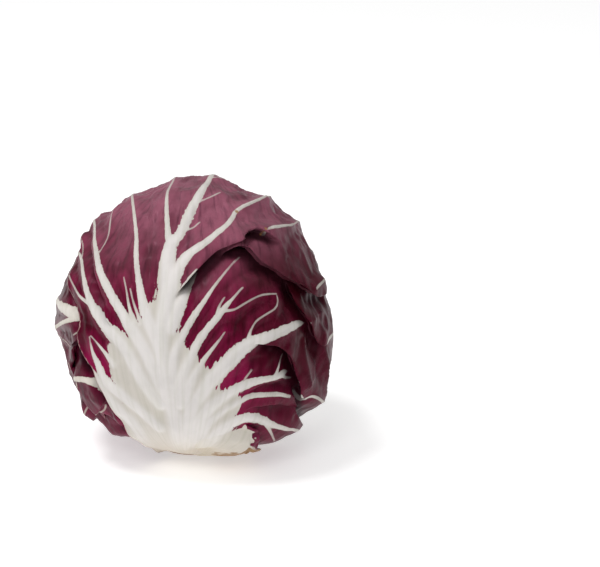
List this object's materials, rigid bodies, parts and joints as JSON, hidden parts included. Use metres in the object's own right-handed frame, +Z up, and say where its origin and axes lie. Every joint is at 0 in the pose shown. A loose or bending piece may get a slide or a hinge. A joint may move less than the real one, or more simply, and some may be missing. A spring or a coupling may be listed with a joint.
{
  "type": "radicchio head",
  "caption": "Round head of red chicory standing on its cut stalk: dark red leaves with white ribs wrapped layer on layer round a closed heart.",
  "frame": {"origin": "middle of the stalk's flat cut face, on which the head rests", "axes": "+Z up along the stalk, -Y towards the front wrapper leaf's side, +X to the right seen from the front"},
  "size_m": [0.1171, 0.1213, 0.1234],
  "materials": {
    "leaf_red": "waxy leaf skin, dark red between white ribs",
    "inner_leaf_red": "paler, softer leaf skin",
    "rib_white": "smooth crisp white rib flesh",
    "stalk_flesh": "cut flesh, browned at the rim"
  },
  "bodies": {
    "root": {"stalk": "stalk_flesh", "torn_leaf_stub": "rib_white", "front_wrapper_leaf": "leaf_red", "right_wrapper_leaf": "leaf_red", "left_wrapper_leaf": "leaf_red", "left_front_leaf": "leaf_red", "right_front_leaf": "leaf_red", "back_leaf": "leaf_red", "back_right_leaf": "leaf_red", "back_left_leaf": "leaf_red", "inner_leaf_1": "inner_leaf_red", "inner_leaf_2": "inner_leaf_red", "inner_leaf_3": "inner_leaf_red", "inner_leaf_4": "inner_leaf_red", "inner_leaf_5": "inner_leaf_red", "inner_leaf_6": "inner_leaf_red", "inner_leaf_7": "inner_leaf_red", "inner_leaf_8": "inner_leaf_red", "inner_leaf_9": "inner_leaf_red", "heart_bud": "inner_leaf_red"}
  },
  "joints": []
}
